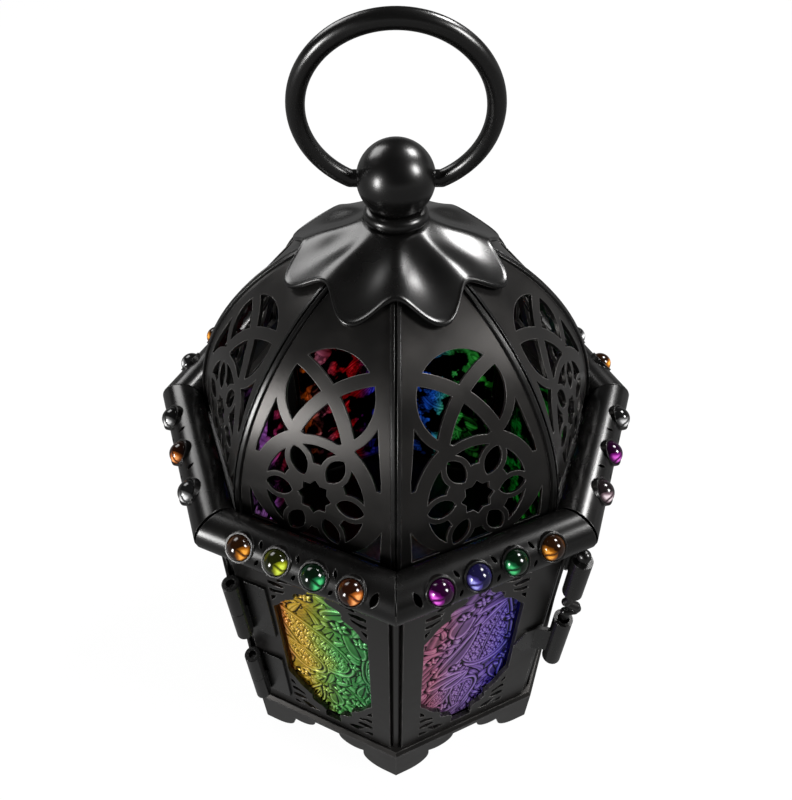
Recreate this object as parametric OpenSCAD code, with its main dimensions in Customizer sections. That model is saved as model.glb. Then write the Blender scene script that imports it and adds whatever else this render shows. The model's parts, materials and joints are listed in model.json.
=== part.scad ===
// Eight-sided pierced metal lantern with embossed glass sides, a jewelled band,
// a fretwork dome, a fluted cap and a ring handle. Millimetres, +Z up, the feet
// stand on z = 0, and a corner of the octagon points to the front (-Y).

/* [Band] */
// Gap between the dome's foot and the band
band_gap = 1.1; // [0.9:0.05:1.4]
// Height of the band's centreline above the table
band_z = 132.4; // [125:0.5:150]
// Outer radius of the band's tube
tube_r = 6.3; // [6:0.1:6.8]
// Wall of the band's tube
tube_wall = 1.2; // [0.8:0.1:1.6]
// Half of the gap at each mitre of the band
mitre_gap = 0.15; // [0.1:0.05:0.4]
// Half of the wider gap at the two front side corners
wide_mitre_gap = 0.45; // [0.1:0.05:0.7]
// Radius of a glass bead
bead_r = 3.6; // [3.2:0.05:3.7]
// Height of a bead's centre above the tube's axis
bead_seat = 5.7; // [5.4:0.1:6]
// Outer radius of the bezel round a bead
bezel_r = 4.15; // [4:0.05:4.4]
// How far a bezel stands out of the tube
bezel_h = 0.5; // [0.3:0.1:1]
// Angle of the beads above the horizontal
bead_tilt = 42; // [30:1:50]
// Length of a pierced leaf in the band
leaf_len = 4.6; // [4:0.2:5]
// Width of a pierced leaf in the band
leaf_w = 2; // [1.2:0.1:2.4]

/* [Dome] */
// Step in from the frames' outside to the foot of the dome
dome_in = 7.4; // [6.5:0.1:9]
// Radius of a dome panel's curve
dome_curve_r = 73; // [70:1:80]
// Height of the centre of that curve above the cornice
dome_spring = 4; // [2:0.5:6]
// Axis to the panels' outside at their top edge
crown_open = 21.5; // [20.5:0.1:23]
// Sheet of the dome panels
dome_sheet = 1.2; // [0.8:0.1:1.6]
// Width of a rib
rib_w = 2.6; // [2:0.1:3.2]
// How far a rib stands out of the panels
rib_h = 0.8; // [0.4:0.1:1.2]
// Width of the groove along a rib
rib_groove = 0.7; // [0.4:0.1:1]
// Depth of that groove
groove_d = 1; // [0.5:0.1:1.5]
// Angle of the fretwork's cuts above the horizontal
cut_tilt = 40; // [32:1:48]

/* [Fretwork] */
// Radius of the upper round window
round_r = 12.4; // [11:0.1:13]
// Height of its centre above the foot of the dome
round_h = 42; // [41:0.1:43]
// Width of the two crossing bands
cross_w = 3.6; // [2.4:0.1:4]
// Radius of the crossing bands
cross_r = 31.8; // [29:0.2:34]
// Sideways place of the centre of a crossing band
cross_x = 22; // [20:0.5:24]
// Height of the centre of a crossing band
cross_h = 20; // [18:0.5:22]
// Radius of the rosette's window
rosette_r = 14.7; // [14:0.1:15]
// Height of the rosette's centre
rosette_h = 14; // [13:0.1:15]
// Width of the ring round the rosette
rosette_ring = 2.6; // [2.2:0.1:3]
// Outer radius of the eight-pointed star
star_r = 5; // [4.4:0.1:5.4]
// Half length of a petal
petal_l = 4.1; // [3.6:0.1:4.4]
// Half width of a petal
petal_w = 2.5; // [2:0.1:2.7]
// Metal left between a petal and its neighbours
petal_web = 1.5; // [1.2:0.1:2]
// Solid margin along the ribs
side_margin = 4.7; // [4:0.1:5.5]
// Solid margin along the foot
foot_margin = 0.3; // [0.2:0.1:2]

/* [Body] */
// Axis to the outside of a side frame
frame_out = 67; // [64:0.5:69]
// Sheet of the side frames
frame_sheet = 1.6; // [1.2:0.1:2]
// Gap between a frame's edge and the corner of the octagon
corner_gap = 2.3; // [1.8:0.1:2.8]
// Radius of a corner rod
rod_r = 1.2; // [0.8:0.1:1.2]
// Depth of a rod's centre behind the outside of the frames, along the corner
rod_depth = 2.3; // [2.3:0.1:2.6]
// Sheet of the wings behind the frames
wing_sheet = 1.2; // [0.8:0.1:1.6]
// Reach of a wing from the corner
wing_w = 5.2; // [4:0.1:5.4]
// Stile beside the window
stile_w = 6.8; // [6.6:0.1:8]
// Wide stile that carries the hinges
hinge_stile_w = 11.9; // [11:0.1:14]
// Wide stile at the latch
latch_stile_w = 9.9; // [9:0.1:12]
// Rail below the window
rail_low = 3.4; // [2.5:0.1:6]
// Rail above the window
rail_high = 4; // [2.5:0.1:6]
// Width of a pierced corner piece
corner_w = 13; // [10:0.5:14]
// Height of a lower corner piece
corner_low_h = 27; // [20:0.5:30]
// Height of an upper corner piece
corner_high_h = 21; // [16:0.5:26]
// Thickness of a glass pane
pane_t = 2; // [1.5:0.1:2.5]
// Lap of a pane behind its frame
pane_lap = 1.2; // [0.8:0.1:1.3]

/* [Plinth] */
// Height of the plinth
plinth_h = 20.7; // [18:0.1:26]
// How far the plinth stands out of the frames
plinth_out = 1.8; // [1.2:0.1:3]
// Thickness of the plinth's top plate
plate_t = 2.4; // [2:0.1:3]
// Chamfer round the top plate
plate_chamfer = 1.1; // [0.6:0.1:1.4]
// Sheet of the plinth's skirt
skirt_sheet = 1.8; // [1.4:0.1:2.5]
// Half of a foot's flat sole, from its corner
sole_w = 5; // [4:0.1:6]
// Radius of the lower scallop of a foot
foot_curve = 8.5; // [7:0.1:9]
// Radius of the upper scallop of a foot
step_curve = 6.6; // [5:0.1:7]
// Height of the skirt's strip over the arch between two feet
arch_strip = 1.2; // [1:0.1:4]
// Outer radius of the tea light's cup
cup_r = 20.5; // [20:0.5:24]
// Height of the cup's wall
cup_h = 9; // [6:0.5:14]
// Sheet of the cup
cup_sheet = 0.8; // [0.6:0.1:1.2]

/* [Cornice and hem] */
// Thickness of the cornice plate
cornice_t = 2.5; // [2:0.1:3]
// How far the cornice stands out of the frames
cornice_out = 1.6; // [1:0.1:2.4]
// Width of the cornice plate, from the frames' outside inwards
cornice_w = 11; // [10:0.5:15]
// Height of the hem strip round the foot of the dome
hem_h = 3; // [2:0.1:3.4]
// Thickness of the hem strip
hem_t = 1.2; // [0.8:0.1:1.4]

/* [Cap and finial] */
// Overhang of a notch of the cap beyond the panels' top edge
notch_over = 5; // [4.5:0.1:6]
// Reach of a lobe's tip beyond the notches
lobe_out = 6.2; // [4:0.1:7]
// Fall of the cap from its top to a lobe's tip
lobe_fall = 11.5; // [10.5:0.1:11.8]
// Fall of the cap from its top to a notch
notch_fall = 6.4; // [5.5:0.1:7]
// Height of the cap's top above the panels' top edge
cap_lift = 8; // [7.6:0.1:9]
// Sheet of the cap
cap_sheet = 1.2; // [0.8:0.1:1.2]
// Radius of the cap's rolled rim
rim_r = 0.9; // [0.7:0.1:1]
// Radius of the collar below the ball
collar_r = 9; // [8:0.1:9.5]
// Height of the collar
collar_h = 4.2; // [3.6:0.1:4.6]
// Radius of the ball
ball_r = 10.5; // [9.5:0.1:11]
// Depth of the ball's seat in the collar
ball_sink = 1.7; // [1.2:0.1:2]
// Radius of the stud
stud_r = 2; // [1.6:0.1:2.2]
// Width of the nut across its flats
nut_af = 7; // [6:0.5:8]
// Height of the nut
nut_h = 3.2; // [2.5:0.1:4]
// Thickness of the crown plate
crown_t = 1.6; // [1.2:0.1:2]

/* [Ring handle] */
// Radius of the ring's centreline
ring_r = 23.7; // [22:0.1:26]
// Radius of the ring's bar
bar_r = 2.3; // [1.8:0.1:2.4]
// Lean of the ring to the front as it stands
ring_lean = 15; // [0:1:25]
// Gap between the ball and the bends of the ring
ring_gap = 1.5; // [1:0.1:2.5]

/* [Hinges] */
// Radius of a hinge barrel
barrel_r = 2.7; // [2.4:0.1:3]
// Radius of a hinge pin
pin_r = 1.25; // [1:0.05:1.4]
// Gap between a barrel and the frame behind it
barrel_gap = 0.3; // [0.25:0.05:0.6]
// Distance of the hinge axis from the frame's edge, towards the door
hinge_in = 0.2; // [0:0.1:0.6]
// Length of a whole hinge
hinge_len = 31; // [24:1:33]
// Height of the lower hinge above the plinth
hinge_low = 9; // [5:1:12]
// Height of the upper hinge above the plinth
hinge_high = 57; // [52:1:62]
// Gap between two knuckles
knuckle_gap = 0.4; // [0.3:0.05:0.6]
// Sheet of the leaves
leaf_sheet = 0.9; // [0.7:0.1:1.2]
// Reach of a leaf over its frame
leaf_reach = 10.5; // [8:0.5:12]

/* [Latch] */
// How far the latch's axis stands out of the frames' corner
latch_out = 4.5; // [4.3:0.1:5.5]
// Radius of the latch's barrels
catch_r = 3.1; // [2.8:0.1:3.2]
// Radius of the latch's wire
wire_r = 1.35; // [1.1:0.05:1.4]
// Radius of the ball end of the wire
knob_r = 2.1; // [1.9:0.1:2.3]
// Length of the bracket's barrel
bracket_len = 18; // [14:0.5:20]
// Length of the keeper's barrel
keeper_len = 27; // [20:0.5:30]
// Free wire between the bracket and its first bend
wire_free = 5; // [4.9:0.1:6]
// Height of the bent stretch of the wire
bend_h = 9; // [8:0.5:11]
// Sideways throw of the bends
bend_out = 3.2; // [2.5:0.1:4]
// Straight tip below the bends
tip_len = 2.6; // [2:0.1:4]
// Gap between the wire's tip and the keeper's mouth
tip_gap = 0.4; // [0.3:0.05:0.6]
// Radius of the keeper's mouth
mouth_r = 1.9; // [1.7:0.05:2.1]
// Height of the bracket's barrel top below the band's centreline
bracket_drop = 11.6; // [11.4:0.1:14]
// Thickness of the arms
arm_t = 1.4; // [1:0.1:1.8]

/* [Fits] */
// Radial clearance of a pin that turns or slides
run_gap = 0.06; // [0.03:0.01:0.09]
// Clearance between fixed pieces
seat_gap = 0.05; // [0.03:0.01:0.1]
// Clearance round the door
door_gap = 0.3; // [0.25:0.05:0.5]

/* [Hidden] */
$fn = 48;

sides = 8;
turn = 360 / sides;
half = turn / 2;
over = bead_r / 3;
black = [0.06, 0.06, 0.065];
amber = [0.85, 0.45, 0.08];
lime = [0.65, 0.75, 0.1];
green = [0.05, 0.4, 0.15];
copper = [0.75, 0.35, 0.12];
magenta = [0.5, 0.08, 0.5];
blue = [0.25, 0.25, 0.65];
clear = [0.8, 0.82, 0.85];
violet = [0.4, 0.2, 0.6];

function to_corner(a) = a / cos(half);
function lerp(a, b, u) = a + (b - a) * u;

// Places on the body
corner_r = to_corner(frame_out);
face_half = frame_out * tan(half);
frame_half = face_half - corner_gap;
frame_in = frame_out - frame_sheet;
rod_place = corner_r - rod_depth;
wing_out = frame_in - door_gap;
body_z0 = plinth_h;
cornice_z1 = band_z - tube_r - seat_gap;
cornice_z0 = cornice_z1 - cornice_t;
frame_z0 = body_z0 + door_gap;
frame_z1 = cornice_z0 - door_gap;
window_z0 = frame_z0 + rail_low;
window_z1 = frame_z1 - rail_high;
pane_out = frame_in - 4 * seat_gap;
pane_in = pane_out - pane_t;
tab_t = wing_sheet / 2;
tab_len = stile_w;
window_edge = frame_half - stile_w;
hinge_edge = frame_half - hinge_stile_w;
latch_edge = frame_half - latch_stile_w;

// Places on the band and the dome
dome_foot = frame_out - dome_in;
tube_a = dome_foot + band_gap + tube_r;
band_r = to_corner(tube_a);
band_half = band_r * sin(half);
foot_z = cornice_z1 + seat_gap;
curve_z = foot_z + dome_spring;
curve_a = dome_foot - dome_curve_r;
dome_top = curve_z + sqrt(pow(dome_curve_r, 2) - pow(crown_open - curve_a, 2));
hem_z1 = foot_z + hem_h;
fret_foot = foot_z + tube_r + dome_sheet / 2;
fret_w0 = fret_foot * cos(cut_tilt) - dome_foot * sin(cut_tilt);

// Places on the finial
notch_r = crown_open + notch_over;
lobe_r = notch_r + lobe_out;
cap_top = dome_top + cap_lift;
collar_z = cap_top + seat_gap;
ball_z = collar_z + collar_h - ball_sink + sqrt(pow(ball_r, 2) - pow(ball_r / 2, 2)) + ball_sink / 2;
crown_z1 = dome_top - dome_sheet + seat_gap;
crown_a = curve_a - seat_gap * 4
    + sqrt(pow(dome_curve_r - dome_sheet, 2) - pow(crown_z1 - curve_z, 2));

// Places on the hinges, in the frame of the face that they stand on
hinge_t = -(frame_half - hinge_in);
hinge_a = frame_out + barrel_gap + barrel_r;
hinge_z = [body_z0 + hinge_low, body_z0 + hinge_high];

// Places on the latch
latch_r = corner_r + latch_out;
latch_a = latch_r * cos(half);
latch_t = latch_r * sin(half);
bracket_z1 = band_z - bracket_drop;
bracket_z0 = bracket_z1 - bracket_len;
bend_z1 = bracket_z0 - wire_free;
bend_z0 = bend_z1 - bend_h;
tip_z = bend_z0 - tip_len;
keeper_z1 = tip_z - tip_gap;

// Shares of a band segment at which its beads and leaves lie, from its left end
front_bead_shares = [0.21, 0.415, 0.615, 0.81];
side_bead_shares = [0.22, 0.5, 0.78];
front_leaf_shares = [0.3125, 0.515, 0.7125];
side_leaf_shares = [0.36, 0.64];
end_leaf_share = 0.925;

// Turns its children to face k. Face 0 is the front right one, and they go round
// to the right. Out of the face is -Y there, and along it X.
module on_face(k) {
    rotate([0, 0, half + turn * k]) children();
}

// Turns its children to corner k. Corner 0 is at the front.
module on_corner(k) {
    rotate([0, 0, turn * k]) children();
}

// Eight-sided prism with its faces at distance a from the axis
module prism(a, z0, z1) {
    translate([0, 0, z0]) linear_extrude(z1 - z0) circle(r = to_corner(a), $fn = sides);
}

// Stands a drawing of (along, up) on a face, from distance a0 to a1
module upright(a0, a1) {
    translate([0, -a0, 0]) rotate([90, 0, 0]) linear_extrude(a1 - a0) children();
}

// A block on a face: along from t0 to t1, out from a0 to a1, up from z0 to z1
module block(t0, t1, a0, a1, z0, z1) {
    translate([t0, -a1, z0]) cube([t1 - t0, a1 - a0, z1 - z0]);
}

// The wedge that belongs to one face, less a gap at both of its corner planes
module wedge(gap, z0, z1) {
    far = latch_r * 2;
    translate([0, -gap / sin(half), z0]) linear_extrude(z1 - z0)
        polygon([[0, 0], [-far * tan(half), -far], [far * tan(half), -far]]);
}

// A pointed leaf, drawn upright about the origin
module leaf_shape(l, w) {
    r = (l * l + w * w) / (2 * w);
    intersection() {
        translate([w - r, 0]) circle(r);
        translate([r - w, 0]) circle(r);
    }
}

// Plinth
module foot_profile() {
    low_c = face_half + plinth_out * tan(half) - sole_w;
    step_c = low_c - foot_curve - step_curve / 2;
    arch_z = plinth_h - plate_t - arch_strip;
    difference() {
        translate([-low_c, -over]) square([2 * low_c, arch_z + over]);
        for (s = [-1, 1]) {
            translate([s * low_c, foot_curve]) circle(foot_curve);
            translate([s * step_c, arch_z]) circle(step_curve);
            translate([s > 0 ? low_c - foot_curve : -low_c - over, foot_curve])
                square([foot_curve + over, arch_z]);
        }
    }
}

module plinth_skirt() {
    out = frame_out + plinth_out;
    color(black) difference() {
        prism(out, 0, plinth_h - plate_t - seat_gap);
        prism(out - skirt_sheet, -over, plinth_h);
        for (k = [0:sides - 1]) on_face(k)
            upright(out - 2 * skirt_sheet, out + skirt_sheet) foot_profile();
    }
}

module plinth_top() {
    out = frame_out + plinth_out;
    color(black) difference() {
        prism(out, plinth_h - plate_t, plinth_h);
        for (k = [0:sides - 1]) on_face(k) translate([0, -out, plinth_h]) rotate([45, 0, 0])
            cube([4 * face_half, plate_chamfer * sqrt(2), plate_chamfer * sqrt(2)], center = true);
    }
}

module candle_cup() {
    z0 = plinth_h + seat_gap;
    color(black) difference() {
        translate([0, 0, z0]) cylinder(r = cup_r, h = cup_h);
        translate([0, 0, z0 + cup_sheet]) cylinder(r = cup_r - cup_sheet, h = cup_h);
    }
}

// Corner posts: a sheet folded behind the two neighbouring frames, with a rod
// along its fold
module post(z0, z1) {
    fold_out = [0, -to_corner(wing_out)];
    fold_in = [0, -to_corner(wing_out - wing_sheet)];
    tip_out = fold_out + wing_w * [cos(half), sin(half)];
    tip_in = tip_out + wing_sheet * [-sin(half), cos(half)];
    color(black) translate([0, 0, z0]) {
        linear_extrude(z1 - z0) polygon([fold_out, tip_out, tip_in, fold_in,
            [-tip_in[0], tip_in[1]], [-tip_out[0], tip_out[1]]]);
        translate([0, -rod_place, 0]) cylinder(r = rod_r, h = z1 - z0);
    }
}

module fixed_post(k) {
    on_corner(k) post(body_z0 + seat_gap, cornice_z0 - seat_gap);
}

// Side frames
// A pierced corner piece: w along the rail and h up the stile, from its outline's
// shares of both, with the openings cut through it
corner_edge_shares = [[0, 0], [1, 0], [1, 0.22], [0.9, 0.29], [0.74, 0.32], [0.64, 0.38], [0.6, 0.5],
    [0.52, 0.6], [0.38, 0.66], [0.28, 0.75], [0.16, 0.88], [0, 1]];
corner_hole_shares = [
    [[0, 0.02], [0.3, 0.02], [0.16, 0.1], [0, 0.13]],
    [[0.46, 0.02], [0.78, 0.05], [0.62, 0.14], [0.3, 0.2], [0.24, 0.16]],
    [[0, 0.25], [0.2, 0.23], [0.46, 0.27], [0.38, 0.34], [0.18, 0.36], [0, 0.34]],
    [[0, 0.46], [0.18, 0.45], [0.42, 0.4], [0.38, 0.48], [0.14, 0.56], [0, 0.55]],
    [[0, 0.68], [0.16, 0.62], [0.12, 0.72], [0, 0.82]]
];

module corner_piece(w, h) {
    function sized(shares) = [for (p = shares) [p[0] * w, p[1] * h]];
    difference() {
        union() {
            polygon(sized(corner_edge_shares));
            translate([0.5 * w, 0.5 * h]) circle(w / 7);
            translate([0.88 * w, 0.18 * h]) circle(w / 7);
        }
        for (hole = corner_hole_shares) polygon(sized(hole));
    }
}

module frame_drawing(t0, t1) {
    difference() {
        translate([-frame_half, frame_z0]) square([2 * frame_half, frame_z1 - frame_z0]);
        translate([t0, window_z0]) square([t1 - t0, window_z1 - window_z0]);
    }
    translate([t0, window_z0]) corner_piece(corner_w, corner_low_h);
    translate([t1, window_z0]) mirror([1, 0]) corner_piece(corner_w, corner_low_h);
    translate([t0, window_z1]) mirror([0, 1]) corner_piece(corner_w, corner_high_h);
    translate([t1, window_z1]) mirror([0, 1]) mirror([1, 0]) corner_piece(corner_w, corner_high_h);
}

// Bent tabs on the back of a frame hold its pane
module pane_tabs(t0, t1) {
    edge = pane_lap + 2 * seat_gap;
    lip = 2 * tab_t;
    for (z = [lerp(window_z0, window_z1, 0.15), (window_z0 + window_z1) / 2,
            lerp(window_z0, window_z1, 0.85)]) {
        block(t0 - edge - tab_t, t0 - edge, pane_in - lip, frame_in, z, z + tab_len);
        block(t0 - edge - tab_t, t0, pane_in - lip, pane_in - 2 * seat_gap, z, z + tab_len);
        block(t1 + edge, t1 + edge + tab_t, pane_in - lip, frame_in, z, z + tab_len);
        block(t1, t1 + edge + tab_t, pane_in - lip, pane_in - 2 * seat_gap, z, z + tab_len);
    }
}

module face_frame(k, t0, t1) {
    color(black) on_face(k) {
        upright(frame_in, frame_out) frame_drawing(t0, t1);
        pane_tabs(t0, t1);
    }
}

module face_pane(k, t0, t1, c) {
    color(c) on_face(k)
        block(t0 - pane_lap, t1 + pane_lap, pane_in, pane_out, window_z0 - pane_lap, window_z1 + pane_lap);
}

module side_frame(k) {
    face_frame(k, -window_edge, window_edge);
}

module side_pane(k) {
    face_pane(k, -window_edge, window_edge, violet);
}

module cornice() {
    color(black) difference() {
        prism(frame_out + cornice_out, cornice_z0, cornice_z1);
        prism(frame_out - cornice_w, cornice_z0 - over, cornice_z1 + over);
    }
}

// Band. Places a child at share s of the segment, with Z out of the tube.
module on_band(s) {
    translate([lerp(-band_half, band_half, s), -tube_a, band_z])
        rotate([90 - bead_tilt, 0, 0]) children();
}

module leaf_cut(s, l, w, up, lean) {
    on_band(s) translate([0, up, 0]) rotate([0, 0, lean])
        linear_extrude(2 * tube_r) leaf_shape(l / 2, w / 2);
}

function is_front(k) = k == 0 || k == sides - 1;
function bead_shares(k) = k == 0 ? [for (s = front_bead_shares) 1 - s]
    : k == sides - 1 ? front_bead_shares : side_bead_shares;
function leaf_shares(k) = k == 0 ? [for (s = front_leaf_shares) 1 - s]
    : k == sides - 1 ? front_leaf_shares : side_leaf_shares;
function corner_gap_at(c) = (c + sides) % sides == 1 || (c + sides) % sides == sides - 1
    ? wide_mitre_gap : mitre_gap;

module band_tube(k) {
    low = band_z - 2 * tube_r;
    high = band_z + 2 * tube_r;
    left_gap = corner_gap_at(k);
    right_gap = corner_gap_at(k + 1);
    color(black) on_face(k) difference() {
        union() {
            intersection() {
                translate([-2 * band_half, -tube_a, band_z]) rotate([0, 90, 0])
                    cylinder(r = tube_r, h = 4 * band_half);
                wedge(0, low, high);
            }
            for (s = bead_shares(k)) on_band(s)
                translate([0, 0, bead_seat - over]) cylinder(r = bezel_r, h = tube_r + bezel_h - bead_seat + over);
        }
        translate([-2 * band_half, -tube_a, band_z]) rotate([0, 90, 0])
            cylinder(r = tube_r - tube_wall, h = 4 * band_half);
        for (s = bead_shares(k)) on_band(s) cylinder(r = bead_r + seat_gap, h = 3 * tube_r);
        for (s = leaf_shares(k)) for (side = [-1, 1])
            leaf_cut(s, leaf_len / 2, leaf_w / 2, side * tube_r * 0.4, side * 28);
        if (is_front(k))
            leaf_cut(k == 0 ? 1 - end_leaf_share : end_leaf_share, leaf_len, leaf_w, 0, k == 0 ? 14 : -14);
        rotate([0, 0, -half]) block(-2 * left_gap, left_gap, 0, 2 * band_r, low, high);
        rotate([0, 0, half]) block(-right_gap, 2 * right_gap, 0, 2 * band_r, low, high);
    }
}

module beads(faces, colours) {
    for (k = faces) on_face(k)
        for (i = [0:len(bead_shares(k)) - 1])
            color(colours[i % len(colours)]) on_band(bead_shares(k)[i])
                translate([0, 0, bead_seat]) sphere(bead_r);
}

// Dome. The section of a panel, drawn as (out, up), from inner to outer offset.
module dome_section(inner, outer, z0, z1) {
    intersection() {
        translate([curve_a, curve_z]) difference() {
            circle(dome_curve_r + outer, $fn = 180);
            circle(dome_curve_r - inner, $fn = 180);
        }
        translate([0, z0]) square([2 * dome_foot, z1 - z0]);
    }
}

module dome_skin(inner, outer, z0, z1) {
    rotate([90, 0, -90]) linear_extrude(4 * face_half, center = true) dome_section(inner, outer, z0, z1);
}

// Half width of the cut area of a panel at height w of the fretwork drawing
module side_limits() {
    wide = dome_foot * tan(half) - side_margin;
    narrow = wide * 0.68;
    tall = rosette_h + rosette_r + round_r;
    polygon([[-wide, 0], [wide, 0], [wide * 0.995, tall * 0.25], [wide * 0.9, tall * 0.6], [narrow, tall],
        [-narrow, tall], [-wide * 0.9, tall * 0.6], [-wide * 0.995, tall * 0.25]]);
}

module crossing() {
    for (s = [-1, 1]) translate([s * cross_x, cross_h]) difference() {
        circle(cross_r + cross_w / 2, $fn = 96);
        circle(cross_r - cross_w / 2, $fn = 96);
    }
}

module round_window() {
    difference() {
        translate([0, round_h]) circle(round_r);
        crossing();
        translate([0, rosette_h]) circle(rosette_r + rosette_ring);
    }
}

// Petals lie at every second of twelve places round the star
module petals(grow) {
    mid = rosette_r - petal_l;
    r = (petal_l * petal_l + petal_w * petal_w) / (2 * petal_w);
    for (a = [30:60:330]) rotate(a) translate([0, mid]) intersection() {
        translate([petal_w - r, 0]) circle(r + grow);
        translate([r - petal_w, 0]) circle(r + grow);
    }
}

module star() {
    side = star_r * sqrt(2);
    for (a = [0, 45]) rotate(a) square(side, center = true);
}

module rosette() {
    mid = rosette_r - petal_l;
    translate([0, rosette_h]) {
        star();
        petals(0);
        difference() {
            circle(rosette_r);
            circle(mid - petal_w / 3);
            petals(petal_web);
        }
    }
}

module side_windows() {
    ring = rosette_r + rosette_ring;
    for (s = [0, 1]) mirror([s, 0]) {
        difference() {
            translate([-dome_foot, rosette_h + ring * 0.45]) square([dome_foot, ring]);
            translate([0, rosette_h]) circle(ring + petal_web);
            translate([0, round_h]) circle(round_r + rosette_ring);
        }
        difference() {
            translate([-dome_foot, 0]) square([dome_foot, rosette_h * 0.75]);
            translate([0, rosette_h * 1.3]) circle(ring * 1.23);
        }
    }
}

module fretwork() {
    difference() {
        intersection() {
            side_limits();
            union() {
                rosette();
                side_windows();
            }
        }
        translate([-dome_foot, -over]) square([2 * dome_foot, foot_margin + over]);
    }
    round_window();
}

module dome_panel(k) {
    reach = dome_foot + dome_top - foot_z;
    color(black) on_face(k) difference() {
        intersection() {
            dome_skin(dome_sheet, 0, foot_z, dome_top);
            wedge(rib_w / 2 + seat_gap, foot_z - over, dome_top + over);
        }
        rotate([90 - cut_tilt, 0, 0]) translate([0, fret_w0, reach * 0.7])
            linear_extrude(reach) fretwork();
    }
}

// Ribs: a flat tongue behind the hem strip, and a raised rib from there to the cap
module dome_ribs() {
    rib_z0 = hem_z1 + seat_gap;
    rib_z1 = cap_top - notch_fall - 2 * rim_r - 6 * seat_gap;
    color(black) for (k = [0:sides - 1]) on_corner(k) {
        for (s = [-1, 1]) difference() {
            intersection() {
                rotate([0, 0, s * half]) dome_skin(dome_sheet, rib_h, foot_z, rib_z1);
                block(s < 0 ? -rib_w / 2 : 0, s < 0 ? 0 : rib_w / 2, 0, 2 * band_r, foot_z, dome_top);
            }
            rotate([0, 0, s * half]) dome_skin(0, 2 * rib_h, foot_z - over, rib_z0);
            intersection() {
                rotate([0, 0, s * half])
                    dome_skin(groove_d - rib_h, 2 * rib_h, rib_z0 + seat_gap, dome_top + over);
                block(-rib_groove / 2, rib_groove / 2, 0, 2 * band_r, foot_z, dome_top + over);
            }
        }
    }
}

module dome_hem() {
    a0 = dome_foot + seat_gap;
    color(black) difference() {
        prism(a0 + hem_t, foot_z, hem_z1);
        prism(a0, foot_z - over, hem_z1 + over);
    }
}

module crown_plate() {
    color(black) difference() {
        prism(crown_a, crown_z1 - crown_t, crown_z1);
        translate([0, 0, crown_z1 - 2 * crown_t]) cylinder(r = stud_r + seat_gap, h = 3 * crown_t);
    }
}

// Cap: one closed skin. At each angle a loop runs out over the top, round the
// rolled rim and back below, and lobes swell it between the corners.
cap_turns = 80;
cap_steps = 6;
rim_steps = 4;
cap_wave_share = 0.09;
function lobe_share(a) = (1 - cos(sides * a)) / 2;
function rim_place(a) = lerp(notch_r, lobe_r, lobe_share(a)) - rim_r;
function rim_fall(a) = lerp(notch_fall, lobe_fall, lobe_share(a));
function cap_r(u, a) = lerp(collar_r, rim_place(a), u);
function cap_z(u, a) = cap_top - rim_fall(a) * (u + cap_wave_share * sin(360 * u));
function cap_loop(a) = concat(
    [[stud_r + seat_gap, cap_top]],
    [for (i = [0:cap_steps]) [cap_r(i / cap_steps, a), cap_z(i / cap_steps, a)]],
    [for (j = [1:rim_steps]) let (t = 90 - 180 * j / (rim_steps + 1))
        [rim_place(a) + rim_r * cos(t), cap_z(1, a) - rim_r + rim_r * sin(t)]],
    [[rim_place(a), cap_z(1, a) - 2 * rim_r]],
    [for (i = [cap_steps - 1:-1:0]) [cap_r(i / cap_steps, a), cap_z(i / cap_steps, a) - cap_sheet]],
    [[stud_r + seat_gap, cap_top - cap_sheet]]
);

module cap() {
    n = len(cap_loop(0));
    points = [for (i = [0:cap_turns - 1]) let (a = 360 * i / cap_turns)
        for (p = cap_loop(a)) [p[0] * sin(a), -p[0] * cos(a), p[1]]];
    faces = [for (i = [0:cap_turns - 1]) for (j = [0:n - 1])
        let (i2 = (i + 1) % cap_turns, j2 = (j + 1) % n)
        each [[i * n + j, i2 * n + j, i2 * n + j2], [i * n + j, i2 * n + j2, i * n + j2]]];
    color(black) polyhedron(points, faces);
}

module collar() {
    bulge = collar_h / 2;
    color(black) difference() {
        rotate_extrude() {
            square([collar_r - bulge, collar_h]);
            translate([collar_r - bulge, bulge]) circle(bulge);
        }
        translate([0, 0, ball_z - collar_z]) sphere(ball_r + seat_gap, $fn = 96);
        translate([0, 0, -over]) cylinder(r = stud_r + seat_gap, h = 2 * collar_h);
    }
}

module ball() {
    color(black) difference() {
        translate([0, 0, ball_z]) sphere(ball_r, $fn = 96);
        translate([-2 * ball_r, 0, ball_z]) rotate([0, 90, 0]) cylinder(r = bar_r + run_gap, h = 4 * ball_r);
        translate([0, 0, ball_z - 2 * ball_r])
            cylinder(r = stud_r + seat_gap, h = 2 * ball_r - 2 * bar_r + seat_gap);
    }
}

module stud() {
    z0 = crown_z1 - crown_t - nut_h - stud_r / 2;
    color(black) translate([0, 0, z0]) cylinder(r = stud_r, h = ball_z - 2 * bar_r - z0);
}

module nut() {
    color(black) translate([0, 0, crown_z1 - crown_t - seat_gap - nut_h]) difference() {
        cylinder(r = nut_af / 2 / cos(30), h = nut_h, $fn = 6);
        translate([0, 0, -over]) cylinder(r = stud_r + seat_gap, h = 2 * nut_h);
    }
}

// Hinges: the door's knuckle is the lower half of each, the fixed one the upper
module knuckle(z0) {
    difference() {
        children();
        translate([hinge_t, -hinge_a, z0 - over]) cylinder(r = pin_r + run_gap, h = hinge_len + 2 * over);
    }
}

module hinge_barrel(z0, z1) {
    translate([hinge_t, -hinge_a, z0]) cylinder(r = barrel_r, h = z1 - z0);
}

module door_leaves() {
    a0 = frame_out + seat_gap;
    a1 = a0 + leaf_sheet;
    cut = hinge_t + barrel_r + knuckle_gap;
    color(black) on_face(sides - 1) for (z = hinge_z) knuckle(z) {
        mid = z + hinge_len / 2 - knuckle_gap / 2;
        hinge_barrel(z, mid);
        block(hinge_t - over, cut, a0, a1, z, mid);
        block(cut, hinge_t + leaf_reach, a0, a1, z, z + hinge_len);
    }
}

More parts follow.
